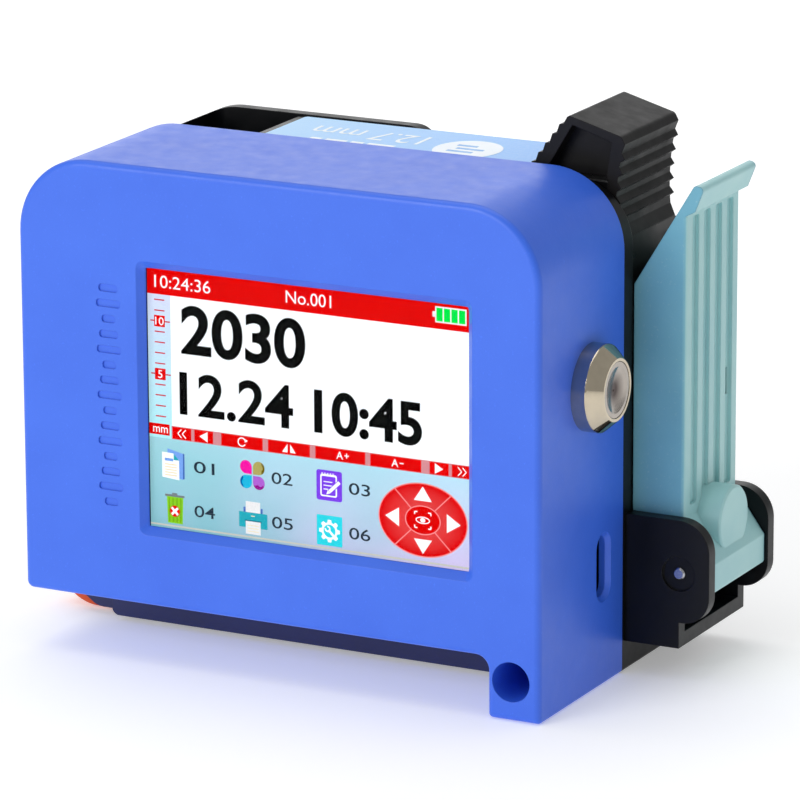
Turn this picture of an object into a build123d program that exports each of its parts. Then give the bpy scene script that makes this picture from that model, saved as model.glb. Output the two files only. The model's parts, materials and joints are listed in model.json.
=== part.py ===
"""Handheld date code inkjet printer: display shell, cartridge stall, latch and guide roller.

Frame: +X to the right seen from the display, +Y from the display to the back, +Z up.
The origin is the middle of the overall footprint, on the surface the printer stands on.
"""
from build123d import *
from math import asin, cos, pi, sin
import os

# ---------------------------------------------------------------- driving dimensions (mm)
shell_width = 114.0
shell_depth = 37.2
shell_top = 101.0
shell_bottom = 12.2
corner_radius = 15.5
wall = 2.2
front_round = 1.3
bracket_reach = 18.1       # latch ears past the shell's right side
foot_width = 11.2
foot_fillet = 2.8
running = 0.05             # radial clearance of a shaft in its hole
gap = 0.3                  # clearance between pieces that move past each other

# display
window_width, window_height = shell_width - 43.7, shell_top - shell_bottom - 36.5
bezel_width, bezel_height = window_width + 2.9, window_height + 3.3
window_x, window_z = shell_width / 2 + 6.1, (shell_top + shell_bottom) / 2 - 2.1
bezel_depth = 1.6
glass_thickness = 1.1
lcd_width, lcd_height, lcd_thickness = window_width + 6.6, window_height + 11.6, 3.2

# rod bore in the foot
rod_bore_r = 4.0
rod_bore_depth = 32.0
rod_x, rod_z = shell_width - 6.1, 7.9

# print button on the right side
button_y, button_z = 22.0, 62.0
button_flange_r = 8.7
button_flange_height = 3.1
button_nose_r = 6.2
button_height = 5.8
button_barrel_r = 6.0
button_barrel_length = 14.0
button_cap_r = 5.5
button_stem_r = 2.0
button_travel = 1.5

# charging socket slot on the right side
slot_y, slot_z = 28.5, 24.1
slot_length, slot_width = 12.4, 4.8
slot_chamfer = 0.9

# cartridge and its stall
cartridge_left, cartridge_right = 27.0, shell_width - 2.6
cartridge_width = 24.8
cartridge_top = shell_top - 3.0
stall_floor = 14.4
stall_wall = 3.9           # partition between the display shell and the cartridge
far_wall = 3.2             # wall behind the cartridge
case_wall = 1.5
label_left, label_right = cartridge_left + 2.3, cartridge_right - 19.2
handle_apex_x, handle_apex_z = cartridge_right - 11.6, cartridge_top + 12.1
snout_left, snout_right = 30.0, 50.0
snout_bottom = 2.2

# latch lever, its bracket and pin
pin_x, pin_z = shell_width + 11.5, 21.5
pin_r = 1.25
ear_thickness = 2.8
ear_top, ear_bottom = 32.4, 6.3
lever_left, lever_face = shell_width + 0.2, shell_width + 11.2
lever_top = shell_top - 2.1
lever_width = cartridge_width + 0.2
groove_pitch, groove_width, groove_depth = 5.4, 3.0, 0.8
boss_r, boss_z, boss_face, boss_chamfer = 6.8, 29.3, lever_face + 5.2, 0.35

# print base and guide roller
base_front = 22.9
base_bottom = 1.1
base_left = 6.5
base_wall = 2.4
tyre_r = 9.2
hub_r = 6.6
tyre_width = 6.0
axle_r = 2.0
roller_x = -0.8
arm_thickness = 2.8
bay_right, bay_top = roller_x + tyre_r + 3.1, 2 * tyre_r + 2.2   # opening around the roller

# electronics
board_thickness = 1.6
standoff_r = 2.5
tray_low, tray_high = 27.3, shell_top - 33.3    # battery tray
cell_r, cell_length = (tray_high - tray_low - 3.6) / 4, 65.0
screw_r = 1.25

# ---------------------------------------------------------------- placing
roller_reach = tyre_r - roller_x            # roller tyre past the shell's left side
stall_width = cartridge_width + 2 * gap + 0.1
housing_depth = stall_wall + stall_width + far_wall
overall_width = roller_reach + shell_width + bracket_reach
overall_depth = shell_depth + housing_depth
x0 = roller_reach - overall_width / 2       # the shell's left side
y0 = -overall_depth / 2                     # the shell's front face
housing_y = shell_depth
back_y = overall_depth
stall_y = housing_y + stall_wall            # the stall's near wall
stall_back = stall_y + stall_width
mid_y = stall_y + stall_width / 2
foot_x = shell_width - foot_width
axle_z = tyre_r


def plane_y(y):
    """Plane across Y, its own x along +X and y along +Z; a negative extrude goes to the back."""
    return Plane((x0, y0 + y, 0), x_dir=(1, 0, 0), z_dir=(0, -1, 0))


def plane_x(x):
    """Plane across X, its own x along +Y and y along +Z; extrudes to the right."""
    return Plane((x0 + x, y0, 0), x_dir=(0, 1, 0), z_dir=(1, 0, 0))


def plane_z(z):
    return Plane((x0, y0, z))


def block(x, y, z, mode=Mode.ADD):
    """Box between the two limits given for each direction."""
    with BuildSketch(plane_z(z[0])) as face:
        with Locations(((x[0] + x[1]) / 2, (y[0] + y[1]) / 2)):
            Rectangle(x[1] - x[0], y[1] - y[0])
    extrude(face.sketch, amount=z[1] - z[0], mode=mode)


def rod_y(x, z, radius, y, mode=Mode.ADD):
    """Cylinder along Y at each centre."""
    with BuildSketch(plane_y(y[0])) as face:
        with Locations((x, z)):
            Circle(radius)
    extrude(face.sketch, amount=-(y[1] - y[0]), mode=mode)


def rod_x_at(y, z, radius, x, mode=Mode.ADD):
    """Cylinder along X."""
    with BuildSketch(plane_x(x[0])) as face:
        with Locations((y, z)):
            Circle(radius)
    extrude(face.sketch, amount=x[1] - x[0], mode=mode)


def rod_z_at(x, y, radius, z, mode=Mode.ADD):
    """Cylinder along Z."""
    with BuildSketch(plane_z(z[0])) as face:
        with Locations((x, y)):
            Circle(radius)
    extrude(face.sketch, amount=z[1] - z[0], mode=mode)


pieces = []


def keep(builder, name):
    builder.part.label = name
    pieces.append(builder.part)


def body_outline(inset, floor, top=shell_top, radius=corner_radius):
    """Face of the rounded body seen from the front, pulled in by inset, without its foot."""
    with BuildSketch() as outline:
        with Locations((shell_width / 2, (top - inset + floor) / 2)):
            Rectangle(shell_width - 2 * inset, top - inset - floor)
        fillet(outline.vertices().group_by(Axis.Y)[-1], radius - inset)
    return outline.sketch


def foot_outline(top=shell_top, radius=corner_radius):
    """Body outline joined to the foot that carries its right side."""
    with BuildSketch() as outline:
        add(body_outline(0, shell_bottom, top, radius))
        with Locations((foot_x + foot_width / 2, shell_bottom)):
            Rectangle(foot_width, 2 * shell_bottom)
        inner = outline.vertices().sort_by_distance((foot_x, shell_bottom))[0]
        fillet(inner, foot_fillet)
        low = outline.vertices().group_by(Axis.Y)[0]
        fillet(low, 0.8)
        fillet(outline.vertices().sort_by_distance((0, shell_bottom))[0], 1.5)
    return outline.sketch


# ---------------------------------------------------------------- display shell
bay_y = (24.3, back_y - 4.0)
screw_spots = [(7.0, bay_top + 9.4), (7.0, shell_top - 17.0)]
standoff_x, standoff_z = (18.0, shell_width - 16.0), (shell_bottom + 6.4, shell_top - 10.5)
standoff_spots = [(x, z) for z in standoff_z for x in standoff_x]
standoff_length = 6.2
boss_outer_r = 3.4

with BuildPart() as front_shell:
    with BuildSketch(plane_y(0)):
        add(foot_outline())
    extrude(amount=-shell_depth)
    fillet(front_shell.faces().sort_by(Axis.Y)[0].edges(), front_round)
    with BuildSketch(plane_y(wall)):
        add(body_outline(wall, shell_bottom + wall))
    extrude(amount=-shell_depth, mode=Mode.SUBTRACT)
    block((0, bay_right + wall), (bay_y[0] - wall, shell_depth), (shell_bottom, bay_top + wall))
    block((-1, bay_right), (bay_y[0], shell_depth + 1), (shell_bottom - 1, bay_top), Mode.SUBTRACT)
    for x, z in screw_spots:
        rod_y(x, z, boss_outer_r, (wall, shell_depth - gap))
        rod_y(x, z, screw_r + running, (shell_depth - 12, shell_depth), Mode.SUBTRACT)
    with BuildSketch(plane_y(-0.01)):
        with Locations((window_x, window_z)):
            RectangleRounded(bezel_width, bezel_height, 1.6)
    with BuildSketch(plane_y(bezel_depth)):
        with Locations((window_x, window_z)):
            RectangleRounded(window_width, window_height, 1.0)
    loft(mode=Mode.SUBTRACT)
    block((window_x - window_width / 2, window_x + window_width / 2), (bezel_depth - 0.5, wall + 1),
          (window_z - window_height / 2, window_z + window_height / 2), Mode.SUBTRACT)
    glass_width, glass_height = window_width + 4, window_height + 4
    block((window_x - glass_width / 2 - 0.1, window_x + glass_width / 2 + 0.1), (bezel_depth, wall + 1),
          (window_z - glass_height / 2 - 0.1, window_z + glass_height / 2 + 0.1), Mode.SUBTRACT)
    rod_y(rod_x, rod_z, rod_bore_r, (-1, rod_bore_depth), Mode.SUBTRACT)
    rod_x_at(button_y, button_z, button_barrel_r + 0.1, (shell_width - wall - 1, shell_width + 1),
             Mode.SUBTRACT)
    with BuildSketch(plane_x(shell_width - wall - 1)):
        with Locations((slot_y, slot_z)):
            SlotOverall(slot_length, slot_width, rotation=90)
    extrude(amount=wall + 2, mode=Mode.SUBTRACT)
    slot_rim = front_shell.faces().sort_by(Axis.X)[-1].edges().filter_by(
        lambda edge: abs(edge.center().Z - slot_z) < slot_length / 2 + 0.1
        and abs(edge.center().Y - y0 - slot_y) < slot_width / 2 + 0.1)
    chamfer(slot_rim, slot_chamfer)
    bar_pitch, bar_count, bar_depth = 3.1, 15, 0.35
    for n in range(bar_count):
        length = 3.0 + 2.4 * ((n * 5) % 3) / 2
        with BuildSketch(plane_y(0)) as bar:
            with Locations((20.2, 32.6 + n * bar_pitch)):
                RectangleRounded(length, 1.5, 0.6)
        extrude(bar.sketch, amount=-bar_depth, mode=Mode.SUBTRACT)
keep(front_shell, "front_shell")

# ---------------------------------------------------------------- display
glass_y = bezel_depth
gasket_y = glass_y + glass_thickness
lcd_y = gasket_y + 0.6

with BuildPart() as touch_glass:
    with BuildSketch(plane_y(glass_y)):
        with Locations((window_x, window_z)):
            RectangleRounded(glass_width, glass_height, 1.5)
    extrude(amount=-glass_thickness)
keep(touch_glass, "touch_glass")

with BuildPart() as display_gasket:
    with BuildSketch(plane_y(gasket_y)):
        with Locations((window_x, window_z)):
            Rectangle(lcd_width, lcd_height - 4)
            Rectangle(window_width + 1, window_height + 1, mode=Mode.SUBTRACT)
    extrude(amount=-(lcd_y - gasket_y))
keep(display_gasket, "display_gasket")

with BuildPart() as lcd_module:
    with BuildSketch(plane_y(lcd_y)):
        with Locations((window_x, window_z)):
            Rectangle(lcd_width, lcd_height)
    extrude(amount=-lcd_thickness)
    chamfer(lcd_module.edges().filter_by(Axis.Y), 0.6)
keep(lcd_module, "lcd_module")

# ---------------------------------------------------------------- main board and battery
board_y = wall + standoff_length
board_back = board_y + board_thickness
board_x, board_z = (13.5, shell_width - 11.5), (shell_bottom + 3.8, shell_top - 7.5)

with BuildPart() as board_standoffs:
    for x, z in standoff_spots:
        rod_y(x, z, standoff_r, (wall, board_y))
        rod_y(x, z, 1.0 + running, (wall + 1.5, board_y), Mode.SUBTRACT)
keep(board_standoffs, "board_standoffs")

with BuildPart() as main_board:
    block(board_x, (board_y, board_back), board_z)
    for x, z in standoff_spots:
        rod_y(x, z, 1.0 + 0.2, (board_y, board_back), Mode.SUBTRACT)
    fillet(main_board.edges().filter_by(Axis.Y).group_by(SortBy.LENGTH)[-1], 1.5)
keep(main_board, "main_board")

with BuildPart() as board_screws:
    for x, z in standoff_spots:
        rod_y(x, z, 1.0, (board_y - 4.0, board_back))
        rod_y(x, z, 1.9, (board_back, board_back + 1.4))
        rod_y(x, z, 0.7, (board_back + 0.8, board_back + 1.4), Mode.SUBTRACT)
keep(board_screws, "board_screws")

with BuildPart() as board_chips:
    for x, drop, size, height in [(30, 17, 12, 1.4), (48, 17, 8, 1.1), (64, 16, 10, 1.6), (82, 19, 6, 1.0)]:
        z = shell_top - drop
        block((x - size / 2, x + size / 2), (board_back, board_back + height), (z - size / 2, z + size / 2))
keep(board_chips, "board_chips")

with BuildPart() as board_connectors:
    for x in (28.0, 48.0, 84.0):
        block((x - 5, x + 5), (board_back, board_back + 4), (18.5, 23.0))
        block((x - 4, x + 4), (board_back + 0.8, board_back + 3.2), (17.5, 21.5), Mode.SUBTRACT)
keep(board_connectors, "board_connectors")

cell_y = board_back + 2.6 + cell_r
cell_spots = [tray_low + 1.5 + cell_r, tray_high - 1.5 - cell_r]
cell_x = (20.0, 20.0 + cell_length)

with BuildPart() as battery_cells:
    for z in cell_spots:
        rod_x_at(cell_y, z, cell_r - 0.1, cell_x)
        rod_x_at(cell_y, z, 2.6, (cell_x[1], cell_x[1] + 0.9))
keep(battery_cells, "battery_cells")

with BuildPart() as battery_tray:
    block((cell_x[0] - 2.4, cell_x[1] + 2.8), (board_back + 0.8, cell_y - 1), (tray_low, tray_high))
    for z in cell_spots:
        rod_x_at(cell_y, z, cell_r, (cell_x[0] - 0.4, cell_x[1] + 1.2), Mode.SUBTRACT)
keep(battery_tray, "battery_tray")

# ---------------------------------------------------------------- charging socket
socket_depth = 7.4
socket_x = shell_width - wall - 0.4

with BuildPart() as usb_socket:
    with BuildSketch(plane_x(socket_x - socket_depth)):
        with Locations((slot_y, slot_z)):
            SlotOverall(8.9, 3.2, rotation=90)
    extrude(amount=socket_depth)
    with BuildSketch(plane_x(socket_x - socket_depth + 1)):
        with Locations((slot_y, slot_z)):
            SlotOverall(8.3, 2.6, rotation=90)
    extrude(amount=socket_depth, mode=Mode.SUBTRACT)
    block((socket_x - socket_depth + 1, socket_x - 1.4), (slot_y - 0.35, slot_y + 0.35),
          (slot_z - 3.4, slot_z + 3.4))
keep(usb_socket, "usb_socket")

with BuildPart() as usb_board:
    usb_board_y = slot_y + 1.6
    block((socket_x - 14, socket_x - 0.6), (usb_board_y, usb_board_y + 1.2), (slot_z - 7.5, slot_z + 7.5))
    for z in (slot_z - 5.6, slot_z + 5.6):
        rod_y(socket_x - 11.5, z, 1.1, (usb_board_y, usb_board_y + 1.2), Mode.SUBTRACT)
keep(usb_board, "usb_board")

# ---------------------------------------------------------------- print button
nose_x = shell_width + button_height
cap_back = nose_x - 3.2
cap_bore_r = button_cap_r + running + 0.03

with BuildPart() as button_bezel:
    with BuildSketch(Plane((x0, y0 + button_y, button_z), x_dir=(1, 0, 0), z_dir=(0, 0, 1))):
        with BuildLine():
            Polyline((shell_width, button_barrel_r), (shell_width, button_flange_r),
                     (shell_width + button_flange_height, button_flange_r),
                     (nose_x, button_nose_r), (nose_x, cap_bore_r),
                     (cap_back - button_travel - 0.3, cap_bore_r),
                     (cap_back - button_travel - 0.3, button_stem_r + 2.4),
                     (shell_width - button_barrel_length + 2.0, button_stem_r + 2.4),
                     (shell_width - button_barrel_length + 2.0, button_stem_r + running),
                     (shell_width - button_barrel_length, button_stem_r + running),
                     (shell_width - button_barrel_length, button_barrel_r), close=True)
        make_face()
    revolve(axis=Axis((x0, y0 + button_y, button_z), (1, 0, 0)))
    circles = button_bezel.edges().filter_by(GeomType.CIRCLE)
    rim = circles.filter_by(lambda edge: abs(edge.radius - button_flange_r) < 0.01)
    fillet(rim.sort_by(Axis.X)[-1], 0.5)
keep(button_bezel, "button_bezel")

with BuildPart() as button_nut:
    with BuildSketch(plane_x(shell_width - wall - 3.0)):
        with Locations((button_y, button_z)):
            RegularPolygon(8.2, 6)
            Circle(button_barrel_r + running, mode=Mode.SUBTRACT)
    extrude(amount=2.8)
keep(button_nut, "button_nut")

switch_x = shell_width - button_barrel_length - 0.2
with BuildPart() as switch_body:
    rod_x_at(button_y, button_z, 5.4, (switch_x - 9.0, switch_x - 2.4))
    for dz in (-3.0, 3.0):
        block((switch_x - 13.5, switch_x - 8.5), (button_y - 0.4, button_y + 0.4),
              (button_z + dz - 1.0, button_z + dz + 1.0))
keep(switch_body, "switch_body")

dish_r, dish_depth = button_cap_r - 0.9, 0.8
dish_ball_r = (dish_r ** 2 + dish_depth ** 2) / (2 * dish_depth)

with BuildPart() as button_cap:
    with BuildSketch(Plane((x0, y0 + button_y, button_z), x_dir=(1, 0, 0), z_dir=(0, 0, 1))):
        with BuildLine():
            stem_end = shell_width - button_barrel_length - 0.4
            rim_x, dish_x = nose_x - 0.1, nose_x - 0.1 - dish_depth
            half_turn = asin(dish_r / dish_ball_r) / 2
            dish = ThreePointArc((rim_x, dish_r),
                                 (dish_x + dish_ball_r * (1 - cos(half_turn)), dish_ball_r * sin(half_turn)),
                                 (dish_x, 0))
            Polyline(dish @ 1, (stem_end, 0), (stem_end, button_stem_r), (cap_back, button_stem_r),
                     (cap_back, button_cap_r), (rim_x, button_cap_r), dish @ 0)
        make_face()
    revolve(axis=Axis((x0, y0 + button_y, button_z), (1, 0, 0)))
keep(button_cap, "button_cap")

spring_left = shell_width - button_barrel_length + 2.0
with BuildPart() as button_spring:
    spring_r, spring_wire_r, spring_turns = 3.2, 0.3, 7
    spring_height = cap_back - spring_left - 2 * spring_wire_r - 0.1
    with BuildLine() as coil:
        Helix(pitch=spring_height / spring_turns, height=spring_height, radius=spring_r,
              center=(x0 + spring_left + spring_wire_r + 0.05, y0 + button_y, button_z), direction=(1, 0, 0))
    with BuildSketch(Plane(origin=coil.line @ 0, z_dir=coil.line % 0)):
        Circle(spring_wire_r)
    sweep(is_frenet=True)
keep(button_spring, "button_spring")

# ---------------------------------------------------------------- cartridge stall
deck_right = cartridge_left - gap - 0.7
scoop_x, scoop_r = 52.0, 6.0
housing_top = shell_top - 2.6
housing_corner_r = 13.0
plan_corner = 10.5           # upright corner at the stall's back left, a shallow arc
plan_corner_bulge = 0.163    # the arc's height as a share of its chord
back_round = 0.7
pocket_left, pocket_floor, pocket_round = 7.5, housing_top - 8.4, 3.0   # finger pocket beside the cartridge
post = 1.8
far_wall_end = (shell_width - 10.0, housing_top - 16.4)  # start of the far wall's slope, and its low end

with BuildPart() as rear_housing:
    with BuildSketch(plane_y(housing_y)):
        add(foot_outline(housing_top, housing_corner_r))
    extrude(amount=-housing_depth)
    with BuildSketch(plane_z(0)):
        with BuildLine():
            bulge = plan_corner * (0.5 - plan_corner_bulge)
            ThreePointArc((0, back_y - plan_corner), (bulge, back_y - bulge), (plan_corner, back_y))
            Polyline((plan_corner, back_y), (plan_corner, back_y + 1), (-1, back_y + 1),
                     (-1, back_y - plan_corner), (0, back_y - plan_corner))
        make_face()
    extrude(amount=shell_top, mode=Mode.SUBTRACT)
    fillet(rear_housing.faces().sort_by(Axis.Y)[-1].edges(), back_round)
    block((deck_right, shell_width - post), (stall_y, stall_back), (stall_floor, shell_top + 1),
          Mode.SUBTRACT)
    block((shell_width - post - 1, shell_width + 1), (stall_y, stall_back), (stall_floor, shell_top + 1),
          Mode.SUBTRACT)
    with BuildSketch(plane_z(pocket_floor)) as pocket:
        with Locations(((pocket_left + cartridge_left) / 2, mid_y)):
            Rectangle(cartridge_left - pocket_left, stall_width)
        fillet(pocket.vertices().group_by(Axis.X)[0], pocket_round)
    extrude(amount=shell_top, mode=Mode.SUBTRACT)
    with BuildSketch(plane_y(stall_back - 1)):
        with BuildLine():
            crest = JernArc((scoop_x, housing_top), (1, 0), scoop_r, -75)
            dip = JernArc(crest @ 1, crest % 1, scoop_r, 75)
            Polyline(dip @ 1, (far_wall_end[0], (dip @ 1).Y), (shell_width, far_wall_end[1]),
                     (shell_width + 1, far_wall_end[1]), (shell_width + 1, shell_top),
                     (scoop_x, shell_top), crest @ 0)
        make_face()
    extrude(amount=-(back_y - stall_back + 2), mode=Mode.SUBTRACT)
    with BuildSketch(plane_y(housing_y - 1)):
        add(body_outline(wall + 0.6, bay_top + wall, housing_top, housing_corner_r))
        with Locations((deck_right - 2.6 + shell_width / 2, shell_top / 2)):
            Rectangle(shell_width, 2 * shell_top, mode=Mode.SUBTRACT)
        with Locations((shell_width / 2, pocket_floor - wall + shell_top / 2)):
            Rectangle(2 * shell_width, shell_top, mode=Mode.SUBTRACT)
    extrude(amount=-(housing_depth + 1 - wall), mode=Mode.SUBTRACT)
    for x, z in screw_spots:
        rod_y(x, z, boss_outer_r, (housing_y, back_y - 0.5))
        rod_y(x, z, screw_r + 0.2, (housing_y - 1, back_y + 1), Mode.SUBTRACT)
        rod_y(x, z, 2.6, (back_y - 2.2, back_y + 1), Mode.SUBTRACT)
    block((deck_right, foot_x - 2.0), (housing_y - 1, stall_y - wall), (stall_floor + 3, housing_top - 14.4),
          Mode.SUBTRACT)
    block((-1, bay_right), (housing_y - 1, bay_y[1]), (shell_bottom - 1, bay_top), Mode.SUBTRACT)
    block((snout_left - 1.0, snout_right + 1.0), (stall_y + 1.6, stall_back - 1.6),
          (shell_bottom - 1, stall_floor + 1), Mode.SUBTRACT)
    block((deck_right - 4.0, deck_right + 0.1), (mid_y - 9.2, mid_y + 9.2), (stall_floor + 1.6, 41.0),
          Mode.SUBTRACT)
keep(rear_housing, "rear_housing")

with BuildPart() as case_screws:
    for x, z in screw_spots:
        rod_y(x, z, screw_r, (housing_y - 10, back_y - 2.2))
        rod_y(x, z, 2.3, (back_y - 2.2, back_y - 0.7))
        rod_y(x, z, 0.8, (back_y - 1.5, back_y - 0.7), Mode.SUBTRACT)
keep(case_screws, "case_screws")

with BuildPart() as contact_block:
    block((deck_right - 3.9, deck_right - 0.5), (mid_y - 9.0, mid_y + 9.0), (stall_floor + 1.8, 40.8))
    chamfer(contact_block.faces().sort_by(Axis.X)[-1].edges(), 0.6)
    pin_rows = [(mid_y + 2.6 * i, 21.0 + 3.0 * j) for i in range(-2, 3) for j in range(6)]
    for y, z in pin_rows:
        rod_x_at(y, z, 0.45 + running, (deck_right - 2.5, deck_right), Mode.SUBTRACT)
keep(contact_block, "contact_block")

with BuildPart() as contact_pins:
    for y, z in pin_rows:
        rod_x_at(y, z, 0.45, (deck_right - 2.5, deck_right + 0.5))
keep(contact_pins, "contact_pins")

with BuildPart() as ribbon_cable:
    block((deck_right + 1.5, deck_right + 19.5), (board_back + 4.2, stall_y - wall - 0.3), (24.2, 24.5))
    block((deck_right + 1.5, deck_right + 19.5), (stall_y - wall - 0.6, stall_y - wall - 0.3), (20.0, 24.2))
keep(ribbon_cable, "ribbon_cable")

# ---------------------------------------------------------------- latch bracket and pin
lever_y = (mid_y - lever_width / 2, mid_y + lever_width / 2)
ear_near = (lever_y[0] - gap - ear_thickness, lever_y[0] - gap)
ear_far = (lever_y[1] + gap, lever_y[1] + gap + ear_thickness)
ear_right = shell_width + bracket_reach
plate_right = pin_x + 0.2


def ear(y):
    """One side plate of the bracket, rounded where it passes the pin."""
    with BuildSketch(plane_y(y[0])) as face:
        with BuildLine():
            Polyline((shell_width, ear_bottom), (plate_right, ear_bottom), (plate_right, 11.6),
                     (ear_right, 11.6), (ear_right, ear_top), (shell_width, ear_top), close=True)
        make_face()
        fillet(face.vertices().sort_by_distance((ear_right, ear_top))[0], 6.5)
        fillet(face.vertices().sort_by_distance((ear_right, 11.6))[0], 5.6)
        with Locations((pin_x, pin_z)):
            Circle(pin_r + 0.02, mode=Mode.SUBTRACT)
    extrude(face.sketch, amount=-(y[1] - y[0]))


with BuildPart() as latch_bracket:
    ear(ear_near)
    ear(ear_far)
    block((shell_width, plate_right), (ear_near[0], ear_far[1]), (ear_bottom, ear_bottom + 2.8))
    block((shell_width, shell_width + 2.0), (ear_near[0], ear_far[1]), (ear_bottom, 15.6))
    for y in (mid_y - 7.0, mid_y + 7.0):
        rod_x_at(y, 12.4, screw_r + 0.2, (shell_width - 1, shell_width + 3), Mode.SUBTRACT)
    rod_y(pin_x, pin_z, 3.5, (ear_near[0] - 1, ear_near[0] + 0.6), Mode.SUBTRACT)
    rod_y(pin_x, pin_z, 3.5, (ear_far[1] - 0.6, ear_far[1] + 1), Mode.SUBTRACT)
keep(latch_bracket, "latch_bracket")

with BuildPart() as bracket_screws:
    for y in (mid_y - 7.0, mid_y + 7.0):
        rod_x_at(y, 12.4, screw_r, (shell_width, shell_width + 2.0))
        rod_x_at(y, 12.4, 2.3, (shell_width + 2.0, shell_width + 3.4))
        rod_x_at(y, 12.4, 0.8, (shell_width + 2.8, shell_width + 3.4), Mode.SUBTRACT)
keep(bracket_screws, "bracket_screws")

with BuildPart() as hinge_pin:
    rod_y(pin_x, pin_z, pin_r, (ear_near[0] + 0.1, ear_far[1] - 0.1))
    chamfer(hinge_pin.edges().filter_by(GeomType.CIRCLE), 0.3)
keep(hinge_pin, "hinge_pin")

# ---------------------------------------------------------------- latch lever
hub_right, hub_bottom, hub_shelf = pin_x + 5.9, 17.0, 23.1
heel_x, heel_z = pin_x - 4.5, 25.0
slope_top = 31.7
tip_x, tip_z = lever_face + 3.7, lever_top - 0.5
lip_z = lever_top - 6.3      # underside of the finger lip
groove_low, groove_top = 34.0, lip_z - 0.6
lever_round = 0.7
relief_low, relief_top = 38.0, lever_top - 24.9

with BuildPart() as latch_lever:
    with BuildSketch(plane_y(lever_y[0])) as side:
        with BuildLine():
            Polyline((lever_left, heel_z + 8.0), (lever_left, lever_top - 20.9), (tip_x - 2.0, lever_top),
                     (tip_x, tip_z), (lever_face + 1.8, lip_z + 1.0), (lever_face, lip_z),
                     (lever_face, slope_top), (hub_right, hub_shelf), (hub_right, hub_bottom),
                     (heel_x, hub_bottom), (lever_left + 0.8, heel_z), close=True)
        make_face()
        fillet(side.vertices().sort_by_distance((tip_x - 2.0, lever_top))[0], 0.9)
        fillet(side.vertices().sort_by_distance((tip_x, tip_z))[0], 0.9)
        fillet(side.vertices().sort_by_distance((heel_x, hub_bottom))[0], 3.0)
        fillet(side.vertices().sort_by_distance((hub_right, hub_bottom))[0], 0.8)
    extrude(amount=-lever_width)
    face_edges = latch_lever.edges().filter_by(Axis.Z).filter_by(
        lambda edge: abs(edge.center().X - x0 - lever_face) < 0.01)
    fillet(face_edges, lever_round)
    for n in range(4):
        y = mid_y + (n - 1.5) * groove_pitch
        with BuildSketch(plane_x(lever_face - groove_depth)) as groove:
            with Locations((y, (groove_top + groove_low) / 2)):
                RectangleRounded(groove_width, groove_top - groove_low, 0.5)
        extrude(groove.sketch, amount=groove_depth + 0.1, mode=Mode.SUBTRACT)
    rod_x_at(mid_y, boss_z, boss_r, (lever_face - groove_depth, boss_face - boss_chamfer))
    with BuildSketch(plane_x(boss_face - boss_chamfer)) as boss_end:
        with Locations((mid_y, boss_z)):
            Circle(boss_r)
    extrude(boss_end.sketch, amount=boss_chamfer, taper=45)
    block((lever_left - 1, lever_face - 3.6), (lever_y[0] + 2.4, lever_y[1] - 2.4),
          (relief_low, relief_top), Mode.SUBTRACT)
    far_groove = mid_y + 1.5 * groove_pitch
    block((lever_face - 4, lever_face), (far_groove - 1.1, far_groove + 1.1), (52.0, 57.5), Mode.SUBTRACT)
    rod_y(pin_x, pin_z, pin_r + running, (lever_y[0] - 1, lever_y[1] + 1), Mode.SUBTRACT)
keep(latch_lever, "latch_lever")

with BuildPart() as latch_pad:
    block((cartridge_right + 0.8, lever_face - 3.6), (mid_y - 6.0, mid_y + 6.0),
          (relief_low + 8.0, relief_top - 8.0))
    fillet(latch_pad.faces().sort_by(Axis.X)[0].edges(), 0.8)
keep(latch_pad, "latch_pad")

# ---------------------------------------------------------------- cartridge
cart_y = (mid_y - cartridge_width / 2, mid_y + cartridge_width / 2)
handle_left = cartridge_right - 18.2
handle_inner = cartridge_right - 3.0
handle_low = cartridge_top - 11.8
lid_bottom = cartridge_top - 2.6

with BuildPart() as cartridge_case:
    with BuildSketch(plane_y(cart_y[0])) as side:
        with BuildLine():
            Polyline((cartridge_left, stall_floor + 0.2), (snout_left, stall_floor + 0.2),
                     (snout_left, snout_bottom), (snout_right, snout_bottom),
                     (snout_right, stall_floor + 0.2), (cartridge_right, stall_floor + 0.2),
                     (cartridge_right, handle_low), (handle_inner, handle_low),
                     (handle_inner, lid_bottom), (cartridge_left, lid_bottom), close=True)
        make_face()
    extrude(amount=-cartridge_width)
    for side_y in (cart_y[0] - 1, cart_y[1] - 3.0):
        block((snout_left - 1, snout_right + 1), (side_y, side_y + 4.0), (snout_bottom - 1, stall_floor + 0.2),
              Mode.SUBTRACT)
    block((cartridge_left + case_wall, handle_inner - case_wall),
          (cart_y[0] + case_wall, cart_y[1] - case_wall), (stall_floor + 2.2, lid_bottom), Mode.SUBTRACT)
keep(cartridge_case, "cartridge_case")

with BuildPart() as ink_foam:
    block((cartridge_left + case_wall + gap, handle_inner - case_wall - gap),
          (cart_y[0] + case_wall + gap, cart_y[1] - case_wall - gap), (stall_floor + 2.4, lid_bottom - 4.0))
keep(ink_foam, "ink_foam")

with BuildPart() as cartridge_lid:
    block((cartridge_left, handle_inner), cart_y, (lid_bottom, cartridge_top))
    fillet(cartridge_lid.faces().sort_by(Axis.Z)[-1].edges().sort_by(Axis.X)[:-1], 0.5)
keep(cartridge_lid, "cartridge_lid")

with BuildPart() as cartridge_label:
    with BuildSketch(plane_z(cartridge_top)):
        with Locations(((label_left + label_right) / 2, mid_y)):
            RectangleRounded(label_right - label_left, cartridge_width - 1.6, 0.8)
    extrude(amount=0.25)
keep(cartridge_label, "cartridge_label")

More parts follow.
